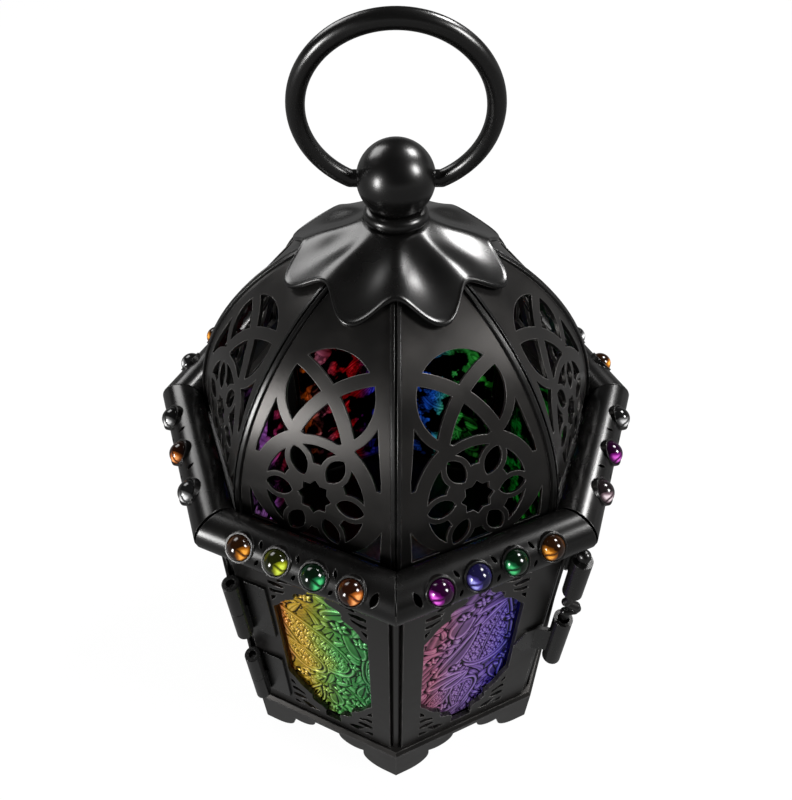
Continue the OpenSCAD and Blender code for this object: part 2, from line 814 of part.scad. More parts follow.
// The fixed leaf lies on the next face, and reaches past the corner to the barrel
module hinge_leaves() {
    a0 = frame_out + seat_gap;
    a1 = a0 + leaf_sheet;
    axis_t = hinge_t * cos(turn) + hinge_a * sin(turn);
    color(black) for (z = hinge_z) {
        mid = z + hinge_len / 2 + knuckle_gap / 2;
        on_face(sides - 1) knuckle(z) {
            hinge_barrel(mid, z + hinge_len);
            rotate([0, 0, -turn]) block(frame_half, axis_t - barrel_r + over, a0, a1, mid, z + hinge_len);
            rotate([0, 0, -turn]) block(frame_half - leaf_reach, frame_half, a0, a1, z, z + hinge_len);
        }
    }
}

module hinge_pins() {
    color(black) on_face(sides - 1) for (z = hinge_z)
        translate([hinge_t, -hinge_a, z + pin_r]) cylinder(r = pin_r, h = hinge_len - 2 * pin_r);
}

// Latch: the bracket and the keeper are alike, on either side of the corner
module latch_plate(z0, z1, bore) {
    a0 = frame_out + seat_gap;
    arm_from = frame_half - leaf_reach / 4;
    arm_z0 = lerp(z0, z1, 0.2);
    arm_z1 = lerp(z0, z1, 0.7);
    reach = leaf_reach;
    dt = latch_t - arm_from;
    da = latch_a - a0;
    difference() {
        union() {
            upright(a0, a0 + leaf_sheet) polygon([[frame_half, arm_z0], [frame_half, arm_z1],
                [frame_half - reach * 0.6, arm_z1], [frame_half - reach, (arm_z0 + arm_z1) / 2],
                [frame_half - reach * 0.6, arm_z0]]);
            translate([arm_from, -a0 - leaf_sheet / 2, arm_z0]) rotate([0, 0, -atan2(da, dt)])
                translate([0, -arm_t / 2, 0]) cube([norm([dt, da]) - leaf_sheet, arm_t, arm_z1 - arm_z0]);
            translate([latch_t, -latch_a, z0]) cylinder(r = catch_r, h = z1 - z0);
        }
        translate([latch_t, -latch_a, z0 - over]) cylinder(r = bore, h = z1 - z0 + 2 * over);
        block(0, face_half, 0, a0, z0 - over, z1 + over);
    }
}

module latch_keeper() {
    color(black) on_face(0) latch_plate(keeper_z1 - keeper_len, keeper_z1, mouth_r);
}

module latch_bracket() {
    color(black) on_face(1) mirror([1, 0, 0]) latch_plate(bracket_z0, bracket_z1, wire_r + run_gap);
}

// Wire from one point of the bent stretch to the next, with a slightly fuller bend
module wire(p, q) {
    d = q - p;
    translate([p[0], 0, p[1]]) rotate([0, atan2(d[0], d[1]), 0]) cylinder(r = wire_r, h = norm(d));
    translate([q[0], 0, q[1]]) sphere(wire_r + seat_gap / 2);
}

module latch_hook() {
    knob_z = bracket_z1 + knob_r + seat_gap;
    bend_shares = [[0, 1], [-0.28, 0.82], [0.85, 0.56], [1, 0.4], [0.8, 0.26], [-0.1, 0.16], [0, 0]];
    path = concat([[0, knob_z]],
        [for (b = bend_shares) [b[0] * bend_out, lerp(bend_z0, bend_z1, b[1])]],
        [[0, tip_z + wire_r]]);
    color(black) on_corner(1) translate([0, -latch_r, 0]) rotate([0, 0, -turn]) {
        translate([0, 0, knob_z]) sphere(knob_r);
        for (i = [1:len(path) - 1]) wire(path[i - 1], path[i]);
    }
}

// Ring handle: an arc closed by a straight pin through the ball
module ring_handle() {
    end = ball_r + ring_gap;
    rise = sqrt(ring_r * ring_r - end * end);
    gap_angle = 2 * asin(end / ring_r);
    color(black) translate([0, 0, ball_z]) rotate([ring_lean, 0, 0]) {
        translate([-end, 0, 0]) rotate([0, 90, 0]) cylinder(r = bar_r, h = 2 * end);
        for (s = [-1, 1]) translate([s * end, 0, 0]) sphere(bar_r);
        translate([0, 0, rise]) rotate([90, 0, 0]) rotate([0, 0, -90 + gap_angle / 2])
            rotate_extrude(angle = 360 - gap_angle, $fn = 96) translate([ring_r, 0]) circle(bar_r);
    }
}

plinth_skirt();
plinth_top();
candle_cup();
fixed_post(sides - 1);  // hinge_post
fixed_post(1);  // latch_post
for (k = [2:sides - 2]) fixed_post(k);  // rear_posts
for (k = [1:sides - 2]) {
    side_frame(k);
    side_pane(k);
}
cornice();
for (k = [0:sides - 1]) {
    band_tube(k);
    dome_panel(k);
}
union() {  // beads_front
    beads([sides - 1], [amber, lime, green, copper]);
    beads([0], [amber, green, blue, magenta]);
}
beads([1, 2], [clear, violet, clear]);  // beads_right
beads([3, 4], [green, amber, blue]);  // beads_back
beads([5, 6], [clear, amber, clear]);  // beads_left
dome_hem();
dome_ribs();
crown_plate();
cap();
translate([0, 0, collar_z]) collar();
ball();
stud();
nut();
hinge_leaves();
hinge_pins();
latch_bracket();
face_frame(sides - 1, -hinge_edge, window_edge);  // door_frame_left
face_frame(0, -window_edge, latch_edge);  // door_frame_right
post(frame_z0, frame_z1);  // door_post
face_pane(sides - 1, -hinge_edge, window_edge, green);  // door_pane_left
face_pane(0, -window_edge, latch_edge, violet);  // door_pane_right
door_leaves();
latch_keeper();
latch_hook();
ring_handle();
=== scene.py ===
"""The looks of an eight-sided pierced metal lantern with embossed glass sides."""
import json
import math

import bmesh
import bpy
import numpy as np
from mathutils import Matrix, Vector


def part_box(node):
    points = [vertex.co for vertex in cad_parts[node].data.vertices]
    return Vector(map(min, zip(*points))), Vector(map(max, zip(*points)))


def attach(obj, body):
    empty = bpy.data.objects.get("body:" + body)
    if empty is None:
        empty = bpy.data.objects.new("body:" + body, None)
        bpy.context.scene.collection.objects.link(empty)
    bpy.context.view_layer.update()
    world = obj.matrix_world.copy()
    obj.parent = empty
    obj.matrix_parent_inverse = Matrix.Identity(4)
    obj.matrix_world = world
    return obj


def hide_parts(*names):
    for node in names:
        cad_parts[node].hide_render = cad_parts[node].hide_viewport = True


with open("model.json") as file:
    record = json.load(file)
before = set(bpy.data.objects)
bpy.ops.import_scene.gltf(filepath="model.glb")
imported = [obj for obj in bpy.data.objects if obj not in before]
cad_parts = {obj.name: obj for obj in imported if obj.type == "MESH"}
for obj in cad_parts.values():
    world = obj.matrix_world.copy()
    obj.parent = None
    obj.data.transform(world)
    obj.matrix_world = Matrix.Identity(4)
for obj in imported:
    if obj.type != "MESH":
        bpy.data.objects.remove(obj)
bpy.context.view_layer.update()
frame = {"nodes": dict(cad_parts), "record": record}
nodes = frame["nodes"]
MM = 0.001
SIDES = 8
TURN = 2 * math.pi / SIDES
HALF = TURN / 2
UP = Vector((0, 0, 1))

# Camera, fitted to the photograph
CAMERA_AT = (0, -160.8 * MM, 299.8 * MM)
CAMERA_DOWN = math.radians(40.99)
CAMERA_LENS = 30.51
CAMERA_SENSOR = 36
CAMERA_SHIFT = -0.08
CAMERA_NEAR = 0.01
CAMERA_FAR = 20

# World, white to the camera and through glass. Metal sees it at SKY_HORIZON, falling
# to SKY_OVERHEAD between the heights SKY_FROM and SKY_TO, and plain light is SKY_PLAIN.
SKY_HORIZON = 0.35
SKY_OVERHEAD = 0.03
SKY_FROM = 0.0
SKY_TO = 0.22
SKY_PLAIN = 0.22

# Floor: its grey, the share and strength of white in the camera's view, and what metal sees
FLOOR_GREY = 0.42
FLOOR_WHITE = 0.93
FLOOR_SEEN = 1.05
FLOOR_GLOSS = 0.22
FLOOR_REACH = 3.0

# Lamps: name, place, width and height in metres, and power in watts
LAMP_TARGET = (0, 0, 0.19)
LAMPS = (
    ("left_front", (-0.97, -0.7, 0.3), (0.26, 0.4), 13),
    ("right_side", (1.0, -0.3, 0.85), (0.3, 0.4), 15),
    ("left_high", (-0.62, 0.62, 0.85), (0.5, 0.5), 5),
    ("right_back", (0.62, 0.5, 1.05), (0.3, 0.3), 12),
)

# Coated metal: the nodes with the smoother finish, noise in cells to the metre, the
# rounding that shades the edges, and colours as shares of a tone, the edges' lighter one partly rubbed wear and
# partly a painted highlight
GLOSSY_NODES = (
    "ball", "ring", "collar", "band_tube", "dome_ribs", "dome_hem", "hinge", "latch", "door_leaves")
CLOUD_SCALE = 90
RUB_AND_HIGHLIGHT_SCALE = 160
GRAIN_SCALE = 2600
GRAIN_DEPTH = 0.2 * MM
EDGE_ROUND = 0.35 * MM
DARK_SHARES = (0.8, 0.78, 0.77)
LIGHT_SHARES = (1.3, 1.22, 1.16)
EDGE_WEAR_AND_HIGHLIGHT_SHARES = (1, 0.97, 0.94)

# Cap, as the part's source gives it
SEAT_GAP = 0.05 * MM
CAP_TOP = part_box("collar")[0][2] - SEAT_GAP
CAP_HUB_R = 9 * MM
CAP_NOTCH_R = 26.5 * MM
CAP_LOBE_R = 32.7 * MM
CAP_NOTCH_FALL = 6.4 * MM
CAP_LOBE_FALL = 11.5 * MM
CAP_RIM_R = 0.9 * MM
CAP_SHEET = 1.2 * MM
CAP_HOLE_R = 2.1 * MM
CAP_WAVE_SHARE = 0.03
CAP_TURNS = 320
CAP_STEPS = 28
CAP_RIM_STEPS = 12
CAP_SHARP = math.radians(50)

# Panes: mesh steps, depth of the embossing and the flat strip round it
FINE_STEP = 0.27 * MM
COARSE_STEP = 0.5 * MM
RELIEF = 0.8 * MM
RIM_FLAT = 1.3 * MM
RIM_RISE = 0.8 * MM
RIM_HEIGHT = 0.15
PANE_WANDER = 0.24

# Painted shade in the hollows and painted light on the ridges: reach of the comparison, its
# strength and the shade of level glass, and how far the painted shade dims an inner side's painted patches
CAVITY = 1.3 * MM
CONTRAST = 1.25
LEVEL_SHADE = 0.45
INNER_LEAST = 0.35
INNER_RISE = 0.75

# Painted patches of light and shade on an inner side: shards between two corners in mm, stretched and darkening
# from their middle in painted shade
SHARDS = 190
SHARD_LOW = (-26, 22)
SHARD_HIGH = (26, 126)
SHARD_STRETCH = 2
SHARD_FADE = 0.07
SHARD_TONES = (0.08, 0.08, 0.3, 0.7, 1.0)

# Embossed pattern, in mm and in radians to the mm. A weave is, along and up the face,
# (waves, bend, waves of the bend).
GRAIN_WEAVE = ((3.1, 1.3, 0.9), (2.9, 1.1, 1.1))
STIPPLE_WEAVE = ((3.3, 1.5, 1.7), (3.0, 1.2, 2.1))
ROUND_END = 0.3
TAPER_POWER = 1.6
TIP_SLOPE = 3
MOAT = 0.5
MOAT_DEPTH = 0.9
BROAD_LEAF = 4
SPRIGS = 190
SPRIG_LOW = (-30, 20)
SPRIG_HIGH = (30, 112)
SPRIG_LENGTHS = (5, 12)
SPRIG_WIDTHS = (1.0, 2.0)
SPRIG_BENDS = (-0.5, 0.5)
FLOWER_EDGE = 1.05

# Leaves on the face: along and up in mm, angle in degrees, length and half width in
# mm, and bend as a share of the length
GOLD_LEAVES = (
    (9, 62, 127, 46, 9.5, 0.1), (-1, 56.5, 128, 26, 6, 0.12), (25, 62, 112, 24, 8, 0.1),
    (10, 27, 138, 24, 3.4, -0.2), (14, 50, 82, 12, 2.6, 0.1), (15, 80, 112, 20, 3.6, 0.2),
    (17, 45, 60, 14, 3.2, -0.25), (-9, 28, 70, 20, 4.2, 0.25), (22, 26, 112, 18, 4.2, -0.25),
    (2, 100, 40, 15, 3.2, 0.2), (4, 34, 100, 16, 3.0, 0.2),
)
PINK_LEAVES = (
    (3, 62, 78, 42, 10, -0.1), (0, 55, -98, 29, 6, 0.08), (-13, 64, 62, 32, 3.4, 0.22),
    (-16, 40, 62, 23, 4.6, 0.25), (-7, 88, 62, 20, 4.0, -0.3), (10, 56, -64, 22, 3.2, 0.25),
    (-16, 57, 10, 17, 3.0, -0.35), (15, 42, 95, 18, 3.0, 0.2), (-13, 25, 40, 16, 3.0, 0.2),
    (13, 106, -150, 16, 3.2, 0.25), (-10, 52, 40, 14, 2.6, 0.3),
)
# Flowers: along, up and radius in mm, and the count of petals
GOLD_FLOWERS = (
    (8, 96, 3.6, 6), (15, 91, 3.0, 6), (6, 48, 3.4, 6), (12, 42, 2.8, 5), (19, 54, 2.6, 5),
    (0, 43, 2.4, 5), (17, 36, 2.8, 6), (20, 84, 2.6, 5), (-3, 107, 2.6, 6), (12, 72, 2.2, 5),
    (-9, 50, 2.6, 5), (2, 30, 2.4, 5),
)
PINK_FLOWERS = (
    (-5, 66, 2.6, 5), (14, 88, 3.0, 6), (14, 60, 2.8, 5), (-10, 86, 2.6, 5), (2, 105, 2.8, 6),
    (-9, 36, 2.8, 6), (9, 32, 2.6, 5), (15, 74, 2.4, 5), (-14, 78, 2.4, 5), (-4, 100, 2.4, 5),
)
# Each pattern's leaves, flowers, and share of combed lines in its ground
PATTERNS = {"gold": (GOLD_LEAVES, GOLD_FLOWERS, 0.0), "pink": (PINK_LEAVES, PINK_FLOWERS, 0.6)}

# Colours across each face's pane, as (place, colour)
ORANGE = (0.8, 0.26, 0.01)
AMBER_YELLOW = (0.78, 0.5, 0.03)
YELLOW_GREEN = (0.42, 0.52, 0.04)
LEAF_GREEN = (0.1, 0.48, 0.09)
DEEP_GREEN = (0.03, 0.34, 0.1)
MINT_GREEN = (0.22, 0.72, 0.3)
PINK = (0.68, 0.22, 0.38)
DUSTY_PINK = (0.6, 0.3, 0.42)
LILAC = (0.4, 0.2, 0.52)
MAUVE = (0.5, 0.24, 0.6)
PALE_MAUVE = (0.6, 0.4, 0.66)
PURPLE = (0.22, 0.12, 0.56)
ROYAL_BLUE = (0.03, 0.02, 0.5)
INK_BLUE = (0.14, 0.16, 0.8)
CLEAR_BLUE = (0.1, 0.34, 0.9)
DEEP_BLUE = (0.12, 0.3, 0.9)
SKY_BLUE = (0.05, 0.2, 0.75)
RED = (0.7, 0.02, 0.05)
PANES = {
    7: [(0.0, ORANGE), (0.07, AMBER_YELLOW), (0.2, AMBER_YELLOW), (0.34, YELLOW_GREEN),
        (0.54, LEAF_GREEN), (1.0, DEEP_GREEN)],
    0: [(0.0, PINK), (0.12, PINK), (0.3, LILAC), (0.64, PURPLE), (0.86, ROYAL_BLUE), (1.0, ROYAL_BLUE)],
    1: [(0.0, SKY_BLUE), (0.5, DEEP_GREEN), (1.0, LEAF_GREEN)],
    2: [(0.0, LEAF_GREEN), (1.0, DEEP_GREEN)],
    3: [(0.0, LEAF_GREEN), (0.55, MINT_GREEN), (0.74, CLEAR_BLUE), (1.0, DEEP_BLUE)],
    4: [(0.0, INK_BLUE), (0.22, INK_BLUE), (0.38, RED), (0.6, RED), (0.8, DUSTY_PINK), (1.0, ORANGE)],
    5: [(0.0, RED), (0.4, MAUVE), (1.0, PALE_MAUVE)],
    6: [(0.0, AMBER_YELLOW), (0.5, ORANGE), (1.0, AMBER_YELLOW)],
}

# Beads: their size and stand on the tube, each glass's dark and middle colour and the bright
# glow painted where the light gathers, and the glasses along each face
BEAD_R = 3.6 * MM
BEAD_TILT = math.radians(42)
BEAD_TURN = math.radians(72)
BEAD_SEGMENTS = 40
BEAD_RINGS = 24
BEAD_COLOURS_AND_PAINTED_GLOW = {
    "amber": ((0.012, 0.004, 0.001), (0.32, 0.1, 0.005), (1.0, 0.42, 0.05)),
    "lime": ((0.008, 0.01, 0.001), (0.3, 0.34, 0.01), (0.7, 0.85, 0.08)),
    "green": ((0.001, 0.006, 0.002), (0.008, 0.12, 0.04), (0.07, 0.6, 0.2)),
    "copper": ((0.012, 0.003, 0.001), (0.35, 0.09, 0.012), (1.0, 0.4, 0.12)),
    "magenta": ((0.012, 0.0, 0.012), (0.2, 0.005, 0.2), (0.8, 0.12, 0.75)),
    "violet": ((0.006, 0.005, 0.03), (0.08, 0.06, 0.32), (0.4, 0.4, 0.9)),
    "clear": ((0.006, 0.006, 0.006), (0.14, 0.14, 0.14), (0.85, 0.85, 0.85)),
    "rose": ((0.01, 0.007, 0.008), (0.18, 0.12, 0.14), (0.85, 0.72, 0.76)),
}
BEADS = {
    7: ("amber", "lime", "green", "copper"),
    0: ("magenta", "violet", "green", "amber"),
    1: ("rose", "magenta", "clear"),
    2: ("amber", "clear", "green"),
    3: ("green", "copper", "violet"),
    4: ("amber", "magenta", "green"),
    5: ("clear", "amber", "clear"),
    6: ("clear", "copper", "clear"),
}
BEAD_NODES = ("beads_front", "beads_right", "beads_back", "beads_left")


def mesh_object(name, points, faces, material, smooth=True):
    """Makes an object of points and faces, given in the part's own frame."""
    mesh = bpy.data.meshes.new(name)
    mesh.from_pydata([tuple(p) for p in points], [], [tuple(f) for f in faces])
    mesh.polygons.foreach_set("use_smooth", [smooth] * len(mesh.polygons))
    mesh.update()
    mesh.materials.append(material)
    made = bpy.data.objects.new(name, mesh)
    bpy.context.scene.collection.objects.link(made)
    return made


def set_material(obj, material):
    """Gives the whole object one material."""
    obj.data.materials.clear()
    obj.data.materials.append(material)


def slot_of(node):
    """The record's material slot of a node."""
    return next(s["material_slot"] for s in frame["record"]["subparts"] if s["node"] == node)


def face_point(k, t, a, z):
    """The point at t along face k, a out from the axis and z up."""
    turn = HALF + TURN * k
    return (t * math.cos(turn) + a * math.sin(turn), t * math.sin(turn) - a * math.cos(turn), z)


def face_axes(k):
    """(along, out) of face k."""
    return Vector(face_point(k, 1, 0, 0)), Vector(face_point(k, 0, 1, 0))


def face_of(point):
    """The number of the face that a point lies over."""
    return round((math.atan2(point[0], -point[1]) - HALF) / TURN) % SIDES


def tinted(tone, shares):
    """A colour whose channels are shares of one tone."""
    return tuple(tone * share for share in shares)


class Nodes:
    """A node tree under construction."""

    def __init__(self, tree):
        self.tree = tree

    def add(self, kind, settings=None, inputs=None):
        """Adds a node, with its settings, values and links."""
        made = self.tree.nodes.new(kind)
        for key, value in (settings or {}).items():
            setattr(made, key, value)
        for key, value in (inputs or {}).items():
            self.put(made.inputs[key], value)
        return made

    def put(self, socket, value):
        """Links an output to the socket, or sets the socket's value."""
        if isinstance(value, bpy.types.NodeSocket):
            self.tree.links.new(value, socket)
        else:
            socket.default_value = value

    def calc(self, kind, first, second=0.0, third=0.0):
        """The result of a Math node."""
        made = self.add("ShaderNodeMath", {"operation": kind})
        for socket, value in zip(made.inputs, (first, second, third)):
            self.put(socket, value)
        return made.outputs["Value"]

    def times(self, first, second):
        """The product of two values."""
        return self.calc("MULTIPLY", first, second)

    def spread(self, value, low, high, start=0.3, end=0.7):
        """Maps a value from start..end to low..high."""
        made = self.add("ShaderNodeMapRange", inputs={
            "Value": value, "From Min": start, "From Max": end, "To Min": low, "To Max": high})
        return made.outputs["Result"]


class Shader(Nodes):
    """A material under construction, with its Principled shader and its output."""

    def __init__(self, name):
        self.material = bpy.data.materials.new(name)
        self.material.use_nodes = True
        super().__init__(self.material.node_tree)
        self.surface = self.tree.nodes["Principled BSDF"]
        self.output = self.tree.nodes["Material Output"]

    def set(self, **inputs):
        """Sets the Principled shader's inputs, named with _ for a space."""
        for key, value in inputs.items():
            self.put(self.surface.inputs[key.replace("_", " ")], value)

    def noise(self, scale, detail=3.0, roughness=0.5):
        """A noise in object space, scale cells to the metre."""
        at = self.add("ShaderNodeTexCoord").outputs["Object"]
        made = self.add("ShaderNodeTexNoise", inputs={
            "Vector": at, "Scale": scale, "Detail": detail, "Roughness": roughness})
        return made.outputs["Fac"]

    def ramp(self, value, stops):
        """A colour ramp of (place, colour) stops."""
        made = self.add("ShaderNodeValToRGB", inputs={"Fac": value})
        ramp = made.color_ramp
        while len(ramp.elements) < len(stops):
            ramp.elements.new(0.5)
        for element, (place, colour) in zip(ramp.elements, stops):
            element.position = place
            element.color = (*colour, 1)
        return made.outputs["Color"]

    def mix(self, share, first, second, mode="MIX"):
        """Mixes two colours."""
        made = self.add("ShaderNodeMix", {"data_type": "RGBA", "blend_type": mode})
        self.put(made.inputs["Factor"], share)
        colours = [s for s in made.inputs if s.type == "RGBA"]
        self.put(colours[0], first if isinstance(first, bpy.types.NodeSocket) else (*first, 1))
        self.put(colours[1], second if isinstance(second, bpy.types.NodeSocket) else (*second, 1))
        return [s for s in made.outputs if s.type == "RGBA"][0]

    def mix_surfaces(self, share, first, second):
        """Shows a mix of two shaders on the surface."""
        both = self.add("ShaderNodeMixShader", inputs={"Fac": share})
        self.put(both.inputs[1], first)
        self.put(both.inputs[2], second)
        self.put(self.output.inputs["Surface"], both.outputs["Shader"])


def black_metal(name, tone, rough, grain, edge_wear_and_highlight, shine, tint):
    """Black coated steel: fine grain, cloudy gloss, and lighter edges that are partly rubbed wear and partly a
    painted edge highlight.
    """
    s = Shader(name)
    cloud = s.noise(CLOUD_SCALE, detail=4)
    fine = s.noise(GRAIN_SCALE, detail=2)
    rounded = s.add("ShaderNodeBevel", {"samples": 4}, {"Radius": EDGE_ROUND}).outputs["Normal"]
    plain = s.add("ShaderNodeNewGeometry").outputs["Normal"]
    facing = s.add("ShaderNodeVectorMath", {"operation": "DOT_PRODUCT"})
    s.put(facing.inputs[0], rounded)
    s.put(facing.inputs[1], plain)
    # Painted edge highlight, partly rubbed wear: a lighter colour in patches where the rounded normal turns
    # away
    edge = s.spread(facing.outputs["Value"], low=1, high=0, start=0.8, end=0.98)
    patches = s.noise(RUB_AND_HIGHLIGHT_SCALE, detail=4, roughness=0.6)
    rub_and_highlight = s.times(edge, s.spread(patches, low=0.25, high=0.9, start=0.4, end=0.65))
    base = s.mix(s.spread(cloud, 0, 1), tinted(tone, DARK_SHARES), tinted(tone, LIGHT_SHARES))
    s.set(Base_Color=s.mix(rub_and_highlight, base, tinted(edge_wear_and_highlight, EDGE_WEAR_AND_HIGHLIGHT_SHARES)), Roughness=s.spread(cloud, *rough))
    bump = s.add("ShaderNodeBump", inputs={
        "Strength": grain, "Distance": GRAIN_DEPTH, "Height": fine, "Normal": rounded})
    s.set(Normal=bump.outputs["Normal"], Specular_IOR_Level=shine, Specular_Tint=tint)
    return s.material


def steel():
    """Plain zinc-coated steel of the stud, nut and cup."""
    s = Shader("bright_steel")
    spangle = s.spread(s.noise(400, detail=4), 0, 1)
    s.set(Base_Color=s.mix(spangle, (0.42, 0.42, 0.43), (0.6, 0.6, 0.61)),
          Roughness=s.spread(s.noise(150), 0.28, 0.45), Metallic=1.0)
    return s.material


def pane_glass(name, stops, lean, glow_share):
    """Embossed glass over coloured foil: the colour runs across the pane, with painted shade in the hollows and
    painted light and a painted highlight on the ridges.
    """
    s = Shader(name)
    place = s.add("ShaderNodeUVMap", {"uv_map": "pane"}).outputs["UV"]
    split = s.add("ShaderNodeSeparateXYZ", inputs={"Vector": place})
    tilt = s.calc("MULTIPLY_ADD", split.outputs["Y"], lean, split.outputs["X"])
    wander = s.calc("MULTIPLY_ADD", s.noise(60, detail=2), PANE_WANDER, tilt)
    colour = s.ramp(s.calc("SUBTRACT", wander, PANE_WANDER / 2), stops)
    painted_shading = s.add("ShaderNodeAttribute", {"attribute_name": "painted_shading"}).outputs["Fac"]
    # Painted shade darkens the hollows and painted light brightens the ridges; a painted highlight pales the
    # highest
    shade = s.spread(painted_shading, low=0.0, high=1.2, start=0.14, end=0.85)
    painted_ridge_highlight = s.spread(painted_shading, low=0, high=0.16, start=0.7, end=1.0)
    colour = s.mix(painted_ridge_highlight, colour, (0.9, 0.9, 0.85))
    grey = s.add("ShaderNodeCombineColor", inputs={"Red": shade, "Green": shade, "Blue": shade})
    toned = s.mix(1.0, colour, grey.outputs["Color"], "MULTIPLY")
    grain = s.add("ShaderNodeBump", inputs={
        "Strength": 0.1, "Distance": 0.1 * MM, "Height": s.noise(1900)})
    s.set(Base_Color=toned, Roughness=s.spread(s.noise(260), 0.32, 0.44), Metallic=0.3,
          Normal=grain.outputs["Normal"], Specular_IOR_Level=0.4, Coat_Weight=0.15, Coat_Roughness=0.2)
    glow = s.add("ShaderNodeBsdfTranslucent", inputs={"Color": toned})
    s.mix_surfaces(glow_share, s.surface.outputs["BSDF"], glow.outputs["BSDF"])
    return s.material


def bead_glass(name, dark, colour, glow):
    """A glass bead: dark where the light enters, with a painted glow at the other side, where it gathers, and
    painted shade at its rim.
    """
    s = Shader(name)
    at = s.add("ShaderNodeTexCoord").outputs["Object"]
    split = s.add("ShaderNodeSeparateXYZ", inputs={"Vector": at})
    x = s.times(split.outputs["X"], 1 / BEAD_R)
    y = s.times(split.outputs["Y"], 1 / BEAD_R)
    wobble = s.calc("MULTIPLY_ADD", s.noise(420, detail=2), 0.9, -0.45)
    aside = s.calc("ABSOLUTE", s.calc("ADD", x, wobble))
    # Painted glow: a wedge on the side away from the light, split by a painted dark gap
    low = s.spread(s.calc("MULTIPLY_ADD", aside, 0.7, y), low=1, high=0, start=-0.42, end=0.02)
    # A faint lift towards the middle colour on the side opposite the glow
    high = s.spread(s.calc("ADD", y, wobble), low=0, high=0.08, start=0.5, end=0.9)
    painted_glow_gap = s.spread(aside, low=0.05, high=1, start=0.04, end=0.26)
    radius = s.calc("SQRT", s.calc("ADD", s.times(x, x), s.times(y, y)))
    # Painted shade towards the ball's rim
    rim = s.spread(radius, low=1, high=0.1, start=0.82, end=0.98)
    share = s.times(s.calc("MAXIMUM", s.times(low, painted_glow_gap), high), rim)
    s.set(Base_Color=s.ramp(share, [(0, dark), (0.5, colour), (1, glow)]), Specular_IOR_Level=0.5,
          Roughness=s.spread(s.noise(500, detail=2), 0.1, 0.16))
    return s.material


def leaf_field(x, y, leaf):
    """(outside, aside) of a bent teardrop: mm beyond its edge and mm beside its spine."""
    cx, cy, angle, length, width, bend = leaf
    ca = math.cos(math.radians(angle))
    sa = math.sin(math.radians(angle))
    along = ((x - cx) * ca + (y - cy) * sa) / length
    aside = -(x - cx) * sa + (y - cy) * ca - bend * length * (along * along - along)
    blunt = (np.hypot((ROUND_END - along) / ROUND_END, aside / width) - 1) * width
    taper = np.clip((along - ROUND_END) / (1 - ROUND_END), 0, 1)
    pointed = np.abs(aside) - width * (1 - taper ** TAPER_POWER) + TIP_SLOPE * np.maximum(along - 1, 0) * length
    return np.where(along < ROUND_END, blunt, pointed), aside


def ridge(value, at, width):
    """A round ridge where value is near at."""
    return np.exp(-((value - at) / width) ** 2)


def weave(x, y, across, up):
    """Two crossing bent waves, -1 to 1."""
    first = np.sin(across[0] * x + across[1] * np.sin(across[2] * y))
    second = np.sin(up[0] * y + up[1] * np.sin(up[2] * x))
    return first * second


def ground_height(x, y, comb):
    """The pattern's ground: fine grain, and a share comb of swirling combed lines."""
    grain = 0.5 + 0.5 * weave(x, y, *GRAIN_WEAVE)
    swirl = np.sin(0.16 * y + 0.12 * x) + 0.6 * np.sin(0.31 * x - 0.2 * y)
    lines = 0.5 + 0.5 * np.sin(2.4 * (0.8 * x - 0.45 * y) + 2.4 * swirl)
    return 0.4 + 0.2 * grain * (1 - comb) + 0.6 * comb * (lines - 0.5)


def add_sprigs(height, x, y, rng):
    """Strews small domed leaves with a vein over the ground, each in a moat."""
    for _ in range(SPRIGS):
        place = rng.uniform(SPRIG_LOW, SPRIG_HIGH)
        angle = rng.uniform(0, 360)
        length = rng.uniform(*SPRIG_LENGTHS)
        width = rng.uniform(*SPRIG_WIDTHS)
        bend = rng.uniform(*SPRIG_BENDS)
        outside, aside = leaf_field(x, y, (*place, angle, length, width, bend))
        dome = np.clip(-outside / width, 0, 1)
        vein = 0.4 * ridge(aside, 0, 0.25) * (dome > 0.2)
        shape = 0.45 + 0.55 * (1 - (1 - dome) ** 2) - vein
        height = np.where(outside < 0, shape, height * (1 - MOAT_DEPTH * (outside < MOAT)))
    return height


def broad_leaf(outside, aside, stipple):
    """A leaf with a double rim, a stippled core and a raised spine."""
    rim = np.maximum(ridge(outside, -0.5, 0.5), 0.9 * ridge(outside, -2.0, 0.35))
    shape = np.maximum(rim, np.where(outside < -2.5, stipple, 0.0))
    spine = np.maximum(shape * (np.abs(aside) > 0.7), 0.9 * ridge(aside, 0, 0.35))
    return np.where(outside < -2.2, spine, shape)


def narrow_leaf(outside, aside):
    """A leaf with a rim, a plain core and a sunk vein."""
    shape = np.maximum(ridge(outside, -0.5, 0.5), 0.5 * (outside < -0.6))
    return shape * (1 - 0.8 * ridge(aside, 0, 0.3))


def add_leaves(height, x, y, leaves):
    """Lays the large leaves over the sprigs, each in a moat."""
    stipple = np.clip(0.5 + 1.1 * weave(x, y, *STIPPLE_WEAVE), 0, 1)
    for leaf in leaves:
        outside, aside = leaf_field(x, y, leaf)
        half_width = leaf[4]
        if half_width > BROAD_LEAF:
            shape = broad_leaf(outside, aside, stipple)
        else:
            shape = narrow_leaf(outside, aside)
        height = np.where(outside < 0.1, shape, height * (outside > MOAT))
    return height


def add_flowers(height, x, y, flowers):
    """Lays small flowers with a sunk ring round their eye over the leaves."""
    for cx, cy, radius, petals in flowers:
        dx = x - cx
        dy = y - cy
        r = np.hypot(dx, dy) / radius
        wave = 0.68 + 0.32 * np.cos(petals * np.arctan2(dy, dx) + cx)
        petal = np.clip(1 - (r / wave) ** 2, 0, 1) ** 0.5
        flower = petal * (1.0 - 0.8 * ridge(r, 0.3, 0.1))
        around = height * (1 - MOAT_DEPTH * ridge(r, FLOWER_EDGE, 0.2))
        height = np.where(r < FLOWER_EDGE, flower, around)
    return height


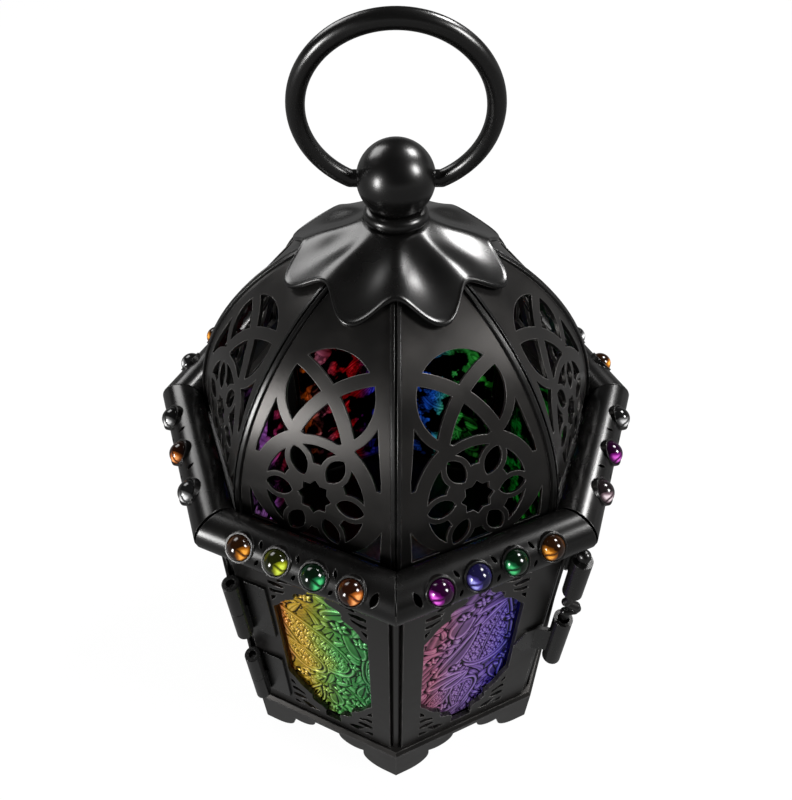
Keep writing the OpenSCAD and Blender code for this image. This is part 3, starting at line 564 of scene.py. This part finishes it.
def relief_height(x, y, pattern):
    """Height of the embossed pattern, 0 to 1, at places in mm along and up the face."""
    leaves, flowers, comb = PATTERNS[pattern]
    rng = np.random.default_rng(len(leaves) + len(flowers))
    height = ground_height(x, y, comb)
    height = add_sprigs(height, x, y, rng)
    height = add_leaves(height, x, y, leaves)
    height = add_flowers(height, x, y, flowers)
    return np.clip(height, 0, 1)


def painted_patches(x, y, k):
    """Painted patches of light and shade on face k's pane, at places in mm along and up it: how bright each
    shard is.
    """
    rng = np.random.default_rng(k)
    nearest = np.full(x.shape, np.inf)
    bright = np.zeros(x.shape)
    for _ in range(SHARDS):
        cx, cy = rng.uniform(SHARD_LOW, SHARD_HIGH)
        lean = rng.uniform(0, math.pi)
        tone = rng.choice(SHARD_TONES)
        dx = x - cx
        dy = y - cy
        along = dx * math.cos(lean) + dy * math.sin(lean)
        aside = dy * math.cos(lean) - dx * math.sin(lean)
        far = np.hypot(along, SHARD_STRETCH * aside)
        bright = np.where(far < nearest, tone * (1 - SHARD_FADE * far), bright)
        nearest = np.minimum(nearest, far)
    return np.clip(bright, SHARD_TONES[0], 1)


def blur(height, reach):
    """The height averaged twice along both axes, over reach cells to either side."""
    for axis in (0, 1):
        for _ in range(2):
            rows = [np.roll(height, i, axis) for i in range(-reach, reach + 1)]
            height = sum(rows) / len(rows)
    return height


def pane_limits(name, k):
    """Lowest and highest (along, out, up) of a pane's node, on its own face."""
    along, out = face_axes(k)
    points = [v.co for v in nodes[name].data.vertices]
    rows = np.array([(p.dot(along), p.dot(out), p.z) for p in points])
    return rows.min(0), rows.max(0)


def closed_sheet(name, k, tt, zz, front, back, material):
    """A closed sheet on face k, over places along and up it, between two distances out."""
    turn = HALF + TURN * k
    points = []
    for depth in (front, back):
        xs = tt * math.cos(turn) + depth * math.sin(turn)
        ys = tt * math.sin(turn) - depth * math.cos(turn)
        points.append(np.stack([xs, ys, zz], -1).reshape(-1, 3))
    count = tt.size
    index = np.arange(count).reshape(tt.shape)
    cells = np.stack([index[:-1, :-1], index[:-1, 1:], index[1:, 1:], index[1:, :-1]], -1).reshape(-1, 4)
    rim = np.concatenate([index[0, :-1], index[:-1, -1], index[-1, :0:-1], index[:0:-1, 0]])
    after = np.roll(rim, -1)
    walls = np.stack([rim, rim + count, after + count, after], -1)
    faces = np.concatenate([cells, cells[:, ::-1] + count, walls])
    return mesh_object(name, np.concatenate(points), faces.tolist(), material)


def embossed_pane(name, k, step, pattern, material, body):
    """Replaces a pane's plain sheet with one whose outer face is embossed."""
    low, high = pane_limits(name, k)
    t0, a0, z0 = low
    t1, a1, z1 = high
    across = max(2, round((t1 - t0) / step))
    up = max(2, round((z1 - z0) / step))
    tt, zz = np.meshgrid(np.linspace(t0, t1, across + 1), np.linspace(z0, z1, up + 1))
    height = relief_height(tt / MM, zz / MM, pattern)
    rim = np.minimum(np.minimum(tt - t0, t1 - tt), np.minimum(zz - z0, z1 - zz))
    height = height * np.clip((rim - RIM_FLAT) / RIM_RISE, 0, 1) + RIM_HEIGHT * (rim <= RIM_FLAT)
    front = a1 - RELIEF * (1 - height)
    piece = closed_sheet(name + "_glass", k, tt, zz, front, np.full_like(front, a0), material)
    mesh = piece.data
    corner = np.empty(len(mesh.loops), np.int32)
    mesh.loops.foreach_get("vertex_index", corner)
    flat = np.stack([(tt - t0) / (t1 - t0), (zz - z0) / (z1 - z0)], -1).reshape(-1, 2)
    mesh.uv_layers.new(name="pane").data.foreach_set("uv", flat[corner % tt.size].ravel())
    # Painted shade: darker where the glass lies below its surroundings, lighter where it stands above them
    shade = np.clip(LEVEL_SHADE + CONTRAST * (height - blur(height, max(1, round(CAVITY / step)))), 0, 1)
    inner = shade
    # The side panes' inner faces carry painted patches of light and shade
    if body == "lantern":
        inner = painted_patches(tt / MM, zz / MM, k) * (INNER_LEAST + INNER_RISE * shade)
    painted_shading = mesh.attributes.new("painted_shading", "FLOAT", "POINT")
    painted_shading.data.foreach_set("value", np.concatenate([shade.ravel(), inner.ravel()]))
    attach(piece, body)
    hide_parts(name)


def loose_parts(mesh):
    """The points of each separate solid in a mesh."""
    parent = list(range(len(mesh.vertices)))

    def root(i):
        while parent[i] != i:
            parent[i] = parent[parent[i]]
            i = parent[i]
        return i

    places = {}
    for v in mesh.vertices:
        key = tuple(round(c, 7) for c in v.co)
        parent[v.index] = places.setdefault(key, v.index)
    for e in mesh.edges:
        a, b = root(e.vertices[0]), root(e.vertices[1])
        parent[a] = b
    groups = {}
    for v in mesh.vertices:
        groups.setdefault(root(v.index), []).append(tuple(v.co))
    return list(groups.values())


def bead_centres(node):
    """The centre of each ball in a beads node."""
    parts = loose_parts(nodes[node].data)
    return [(np.array(p).min(0) + np.array(p).max(0)) / 2 for p in parts]


def bead(name, centre, k, material, node):
    """One glass bead on face k, a smooth ball whose Z points out of the tube and Y up along it."""
    along, out = face_axes(k)
    normal = out * math.cos(BEAD_TILT) + UP * math.sin(BEAD_TILT)
    # The turn sets where the painted glow lies, mirrored between the left and the right faces
    along = Matrix.Rotation(math.copysign(BEAD_TURN, -centre.x), 3, normal) @ along
    across = normal.cross(along)
    mesh = bpy.data.meshes.new(name)
    shape = bmesh.new()
    bmesh.ops.create_uvsphere(shape, u_segments=BEAD_SEGMENTS, v_segments=BEAD_RINGS, radius=BEAD_R)
    shape.to_mesh(mesh)
    shape.free()
    mesh.polygons.foreach_set("use_smooth", [True] * len(mesh.polygons))
    mesh.materials.append(material)
    made = bpy.data.objects.new(name, mesh)
    bpy.context.scene.collection.objects.link(made)
    made.matrix_world = Matrix.Translation(centre) @ Matrix((along, across, normal)).transposed().to_4x4()
    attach(made, "lantern")
    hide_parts(node)


def cap_loop(angle):
    """The cap's section at an angle: over the top, round the rolled rim and back below."""
    share = (1 - math.cos(SIDES * angle)) / 2
    place = CAP_NOTCH_R + (CAP_LOBE_R - CAP_NOTCH_R) * share - CAP_RIM_R
    fall = CAP_NOTCH_FALL + (CAP_LOBE_FALL - CAP_NOTCH_FALL) * share
    top = []
    for i in range(CAP_STEPS + 1):
        u = i / CAP_STEPS
        sink = fall * (u + CAP_WAVE_SHARE * math.sin(2 * math.pi * u))
        top.append((CAP_HUB_R + (place - CAP_HUB_R) * u, CAP_TOP - sink))
    edge = top[-1][1] - CAP_RIM_R
    rim = []
    for j in range(1, CAP_RIM_STEPS):
        turn = math.pi / 2 - math.pi * j / CAP_RIM_STEPS
        rim.append((place + CAP_RIM_R * math.cos(turn), edge + CAP_RIM_R * math.sin(turn)))
    below = [(r, z - CAP_SHEET) for r, z in reversed(top[:-1])]
    hole = [(CAP_HOLE_R, CAP_TOP - CAP_SHEET), (CAP_HOLE_R, CAP_TOP)]
    return top + rim + [(place, edge - CAP_RIM_R)] + below + hole


def fluted_cap(material):
    """Replaces the cap with the same closed skin, finely stepped and smooth."""
    loops = [cap_loop(2 * math.pi * i / CAP_TURNS) for i in range(CAP_TURNS)]
    size = len(loops[0])
    points = []
    for i, loop in enumerate(loops):
        angle = 2 * math.pi * i / CAP_TURNS
        points += [(r * math.sin(angle), -r * math.cos(angle), z) for r, z in loop]
    faces = []
    for i in range(CAP_TURNS):
        a = i * size
        b = (i + 1) % CAP_TURNS * size
        faces += [(a + j, b + j, b + (j + 1) % size, a + (j + 1) % size) for j in range(size)]
    cap = mesh_object("cap_skin", points, faces, material)
    cap.data.set_sharp_from_angle(angle=CAP_SHARP)
    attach(cap, "lantern")
    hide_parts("cap")


def add_camera():
    """The photograph's camera."""
    data = bpy.data.cameras.new("camera")
    data.sensor_fit = "VERTICAL"
    data.sensor_height = CAMERA_SENSOR
    data.lens = CAMERA_LENS
    data.shift_y = CAMERA_SHIFT
    data.clip_start = CAMERA_NEAR
    data.clip_end = CAMERA_FAR
    camera = bpy.data.objects.new("camera", data)
    camera.location = CAMERA_AT
    camera.rotation_euler = (math.pi / 2 - CAMERA_DOWN, 0, 0)
    bpy.context.scene.collection.objects.link(camera)
    bpy.context.scene.camera = camera


def add_world():
    """A studio that is white all round to the camera, and dimmer and dark overhead to metal."""
    world = bpy.data.worlds.new("world")
    bpy.context.scene.world = world
    world.use_nodes = True
    tree = Nodes(world.node_tree)
    rays = tree.add("ShaderNodeLightPath").outputs
    place = tree.add("ShaderNodeTexCoord").outputs["Generated"]
    height = tree.add("ShaderNodeSeparateXYZ", inputs={"Vector": place}).outputs["Z"]
    seen = tree.calc("MAXIMUM", rays["Is Camera Ray"], rays["Is Transmission Ray"])
    sky = tree.spread(height, SKY_HORIZON, SKY_OVERHEAD, SKY_FROM, SKY_TO)
    unseen = tree.spread(rays["Is Glossy Ray"], SKY_PLAIN, sky, start=0, end=1)
    back = world.node_tree.nodes["Background"]
    tree.put(back.inputs["Color"], (1, 1, 1, 1))
    tree.put(back.inputs["Strength"], tree.calc("MAXIMUM", seen, unseen))


def add_floor():
    """A pale floor that looks white to the camera and keeps a soft shadow."""
    s = Shader("floor_white")
    s.tree.nodes.remove(s.surface)
    rays = s.add("ShaderNodeLightPath").outputs
    plain = s.add("ShaderNodeBsdfDiffuse", inputs={"Color": (FLOOR_GREY, FLOOR_GREY, FLOOR_GREY, 1)})
    seen = s.calc("MAXIMUM", rays["Is Camera Ray"], rays["Is Transmission Ray"])
    mirrored = rays["Is Glossy Ray"]
    strength = s.calc("MAXIMUM", s.times(seen, FLOOR_SEEN), s.times(mirrored, FLOOR_GLOSS))
    white = s.add("ShaderNodeEmission", inputs={"Color": (1, 1, 1, 1), "Strength": strength})
    share = s.calc("MAXIMUM", s.times(seen, FLOOR_WHITE), mirrored)
    s.mix_surfaces(share, plain.outputs["BSDF"], white.outputs["Emission"])
    corners = [(-1, -1), (1, -1), (1, 1), (-1, 1)]
    points = [(FLOOR_REACH * x, FLOOR_REACH * y, 0) for x, y in corners]
    floor = mesh_object("floor", points, [(0, 1, 2, 3)], s.material, smooth=False)


def add_light(name, at, size, power):
    """A soft rectangular lamp turned to the lantern."""
    data = bpy.data.lights.new(name, "AREA")
    data.shape = "RECTANGLE"
    data.size, data.size_y = size
    data.energy = power
    lamp = bpy.data.objects.new(name, data)
    lamp.location = at
    lamp.rotation_euler = (Vector(LAMP_TARGET) - Vector(at)).to_track_quat("-Z", "Y").to_euler()
    bpy.context.scene.collection.objects.link(lamp)


def dress_metal():
    """Finishes every node of the model, and replaces the cap."""
    satin = black_metal("black_satin", tone=0.0065, rough=(0.28, 0.36), grain=0.04, edge_wear_and_highlight=0.26,
                        shine=0.42, tint=(1, 0.95, 0.91, 1))
    gloss = black_metal("black_gloss", tone=0.0025, rough=(0.24, 0.29), grain=0.012, edge_wear_and_highlight=0.05,
                        shine=0.55, tint=(1, 0.99, 0.98, 1))
    bright = steel()
    for node, obj in nodes.items():
        coated = gloss if node.startswith(GLOSSY_NODES) else satin
        set_material(obj, bright if slot_of(node) == "bright_steel" else coated)
    fluted_cap(gloss)


def dress_panes():
    """Embosses the door's two panes finely and the side panes less finely."""
    for name, k, pattern in (("door_pane_left", 7, "gold"), ("door_pane_right", 0, "pink")):
        glass = pane_glass("glass_%d" % k, PANES[k], lean=-0.12, glow_share=0.3)
        embossed_pane(name, k, FINE_STEP, pattern, glass, "door")
    for k in range(1, SIDES - 1):
        glass = pane_glass("glass_%d" % k, PANES[k], lean=0.1, glow_share=0.75)
        pattern = "pink" if k % 2 else "gold"
        embossed_pane("side_pane_%d" % k, k, COARSE_STEP, pattern, glass, "lantern")


def dress_beads():
    """Replaces each bead with a smooth one of its own glass, with its painted glow and shade."""
    glass = {name: bead_glass("bead_" + name, *tones) for name, tones in BEAD_COLOURS_AND_PAINTED_GLOW.items()}
    for node in BEAD_NODES:
        rows = {}
        for centre in bead_centres(node):
            rows.setdefault(face_of(centre), []).append(centre)
        for k, centres in rows.items():
            along = face_axes(k)[0]
            centres.sort(key=lambda c: Vector(c).dot(along))
            for i, centre in enumerate(centres):
                bead("bead_%d_%d" % (k, i), Vector(centre), k, glass[BEADS[k][i]], node)


add_camera()
add_world()
add_floor()
for lamp in LAMPS:
    add_light(*lamp)
dress_metal()
dress_panes()
dress_beads()

bpy.context.scene.view_settings.view_transform = "Standard"
